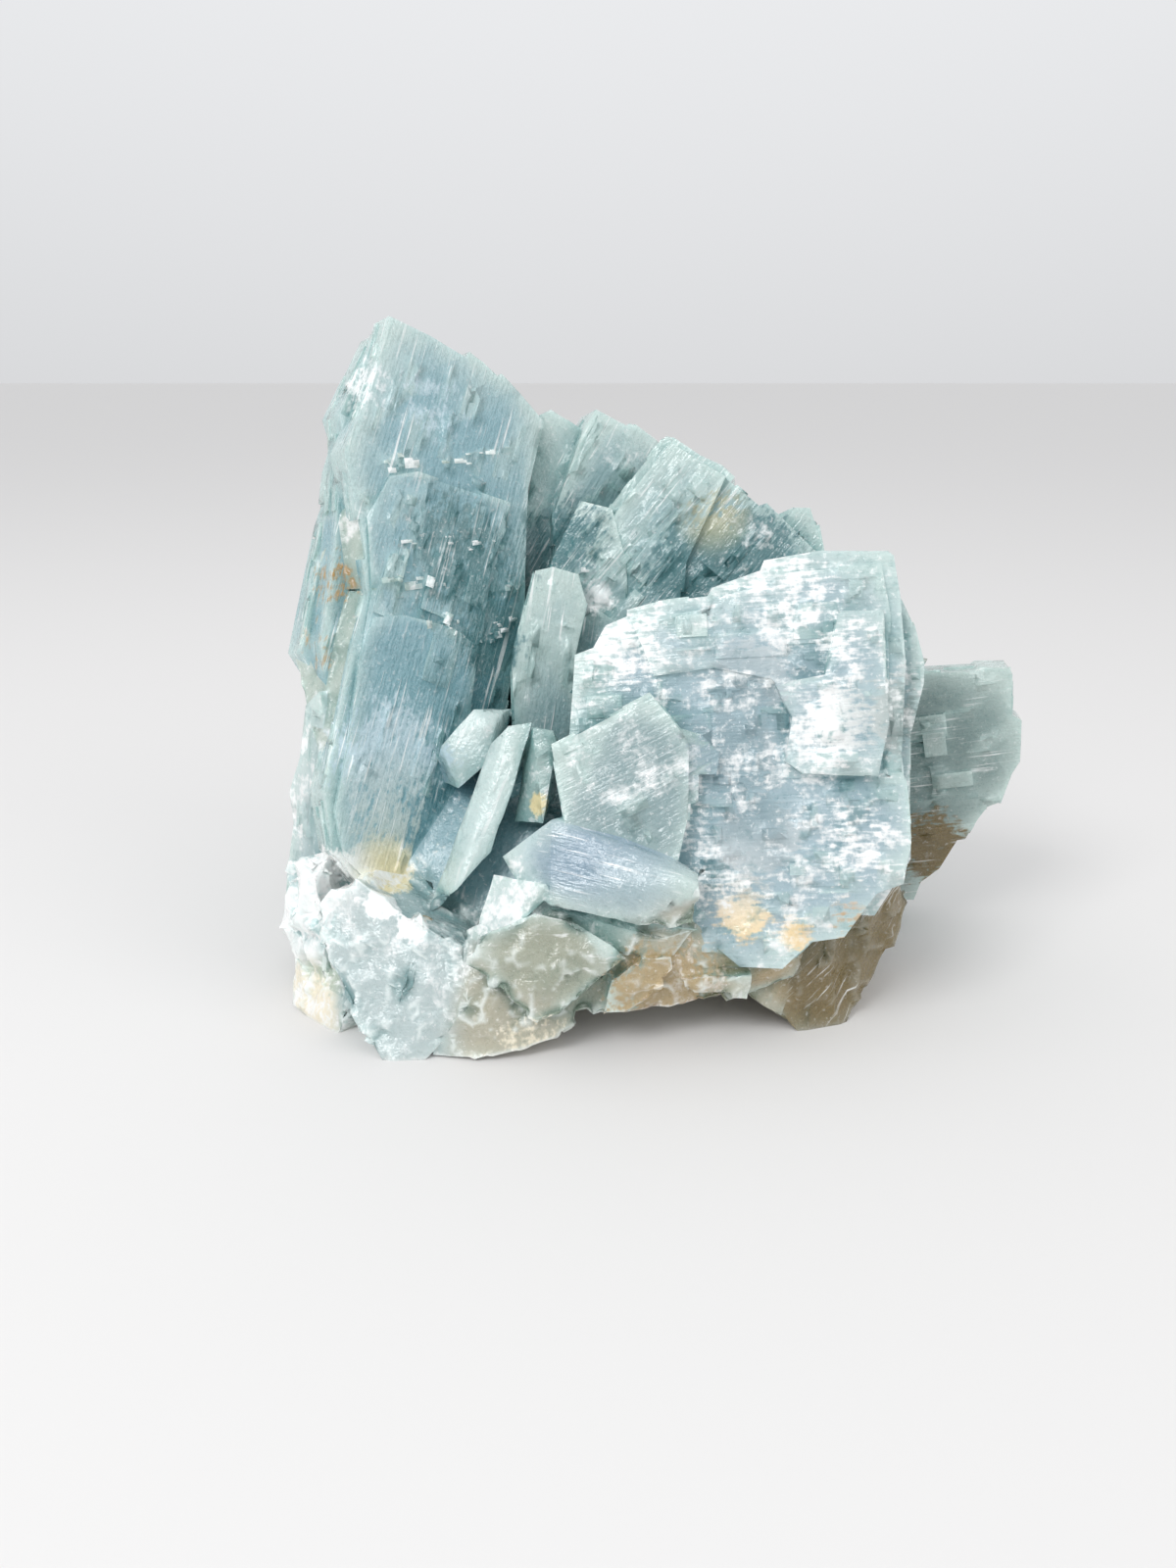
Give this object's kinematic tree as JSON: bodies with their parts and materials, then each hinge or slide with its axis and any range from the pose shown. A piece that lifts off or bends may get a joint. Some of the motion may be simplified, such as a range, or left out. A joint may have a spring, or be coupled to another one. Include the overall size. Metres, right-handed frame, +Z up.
{
  "type": "barite specimen",
  "caption": "Blue barite cluster of stacked tabular crystals fanned out of a broken pale base, standing on its own feet for display.",
  "frame": {"origin": "centre of the footprint's box on the surface that the specimen stands on", "axes": "+Z up, -Y towards the open side of the fan with the big faces, +X along the width"},
  "size_m": [0.087, 0.054, 0.0717],
  "materials": {
    "barite": "satin, milky translucent blue-grey with frosted white faces, pale broken base and rust stains"
  },
  "bodies": {
    "root": {"barite_cluster": "barite"}
  },
  "joints": []
}
